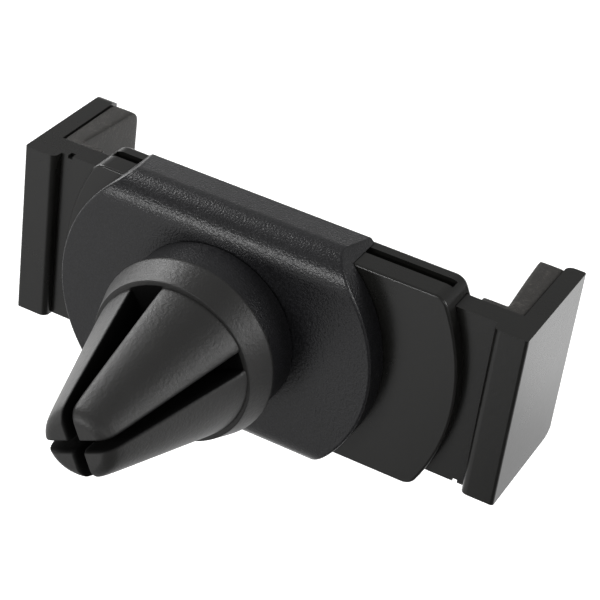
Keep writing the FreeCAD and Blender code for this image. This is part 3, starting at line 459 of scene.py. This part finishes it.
floor_work.free()
floor = bpy.data.objects.new("floor", floor_mesh)
bpy.context.collection.objects.link(floor)
floor_paper, surface, start, place = new_finish("floor_paper")
floor_mesh.materials.append(floor_paper)
seen = start.make("ShaderNodeLightPath", output="Is Camera Ray")
glossy = seen.other("Is Glossy Ray")
across = start.make("ShaderNodeSeparateXYZ", {"Vector": place})
along = across.other("Y")
undimmed = NEAR_DIMMED + (1.0 - NEAR_DIMMED) * (1.0 - along.between(*DIMMED_EDGE))
mirrored = MIRRORED_GLOW + (1.0 - across.between(*NEAR_EDGE)) * undimmed * NEAR_GLOW
for nearest, farthest, glow in FAR_GLOWS:
    mirrored = mirrored + along.between(nearest, farthest) * glow
feed(surface, Base_Color=mixed(start, glossy, FLOOR_GREY, (0.0, 0.0, 0.0)), Roughness=0.9,
     Specular_IOR_Level=0.0, Emission_Strength=1.0,
     Emission_Color=(seen + seen.other("Is Transmission Ray")) * FLOOR_GLOW + glossy * mirrored)

# The room round it is white to the camera and dim as a light. In glossy rays it is bright only low
# on the left, which gives the clip its pale flank.
ROOM_FILL = 0.30
HORIZON_GLOW = 0.9
HORIZON_HEIGHTS = (0.05, 0.40)
HORIZON_LEFT = (-0.80, -0.35)
world = bpy.data.worlds.new("room")
bpy.context.scene.world = world
world.use_nodes = True
room = Tone(world.node_tree)
seen = room.make("ShaderNodeLightPath", output="Is Camera Ray")
heading = room.make("ShaderNodeSeparateXYZ", {"Vector": room.make("ShaderNodeTexCoord")})
low_left = ((1.0 - heading.other("Z").between(*HORIZON_HEIGHTS))
            * (1.0 - heading.between(*HORIZON_LEFT)))
strength = (ROOM_FILL + (seen + seen.other("Is Transmission Ray")) * (1.0 - ROOM_FILL)
            + seen.other("Is Glossy Ray") * low_left * HORIZON_GLOW)
background = world.node_tree.nodes["Background"]
background.inputs["Color"].default_value = (1.0, 1.0, 1.0, 1.0)
world.node_tree.links.new(strength.socket, background.inputs["Strength"])

# Five soft boxes stand round the holder, and the camera doesn't see them. Each has its heading from
# the holder, its distance, width and height in metres, and its watts.
LAMPS = {
    "top_box": ((-0.72, 0.22, 0.65), 0.8, 0.3, 0.3, 3.2),
    "rear_box": ((-0.337, -0.874, 0.326), 1.0, 0.35, 0.05, 2.6),
    "side_box": ((0.84, 0.32, 0.44), 0.8, 0.3, 0.3, 2.0),
    "right_box": ((0.64, -0.60, 0.43), 1.0, 0.2, 0.2, 0.8),
    "left_box": ((-0.88, 0.42, 0.22), 1.0, 0.5, 0.3, 1.8),
}
LAMP_AIM = Vector((0.004, 0.015, 0.0))
for name, (heading, distance, width, tallness, watts) in LAMPS.items():
    lamp = bpy.data.lights.new(name, "AREA")
    lamp.shape = "RECTANGLE"
    lamp.size = width
    lamp.size_y = tallness
    lamp.energy = watts
    box = bpy.data.objects.new(name, lamp)
    box.location = LAMP_AIM + Vector(heading).normalized() * distance
    box.rotation_euler = (LAMP_AIM - box.location).to_track_quat("-Z", "Y").to_euler()
    bpy.context.collection.objects.link(box)
    box.visible_camera = False

# The camera stands behind the clip, to the right and above, where the photograph was taken from. It
# was fitted to the straight edges of the sleeve and the jaws.
CAMERA_PLACE = Vector((111.995, -211.743, 171.590)) * MM
CAMERA_RIGHT = Vector((0.87445, 0.47052, 0.11806))
CAMERA_DOWN = Vector((0.34952, -0.44232, -0.82595))
CAMERA_AHEAD = Vector((-0.33641, 0.76352, -0.55124))
CAMERA_LENS = 123.454
CAMERA_SENSOR = 36.0
CAMERA_NEAREST = 0.01
camera_data = bpy.data.cameras.new("camera")
camera_data.lens = CAMERA_LENS
camera_data.sensor_width = CAMERA_SENSOR
camera_data.clip_start = CAMERA_NEAREST
camera = bpy.data.objects.new("camera", camera_data)
bpy.context.collection.objects.link(camera)
turn = Matrix((CAMERA_RIGHT, -CAMERA_DOWN, -CAMERA_AHEAD)).transposed().to_4x4()
camera.matrix_world = Matrix.Translation(CAMERA_PLACE) @ turn
bpy.context.scene.camera = camera
bpy.context.scene.view_settings.view_transform = "Standard"
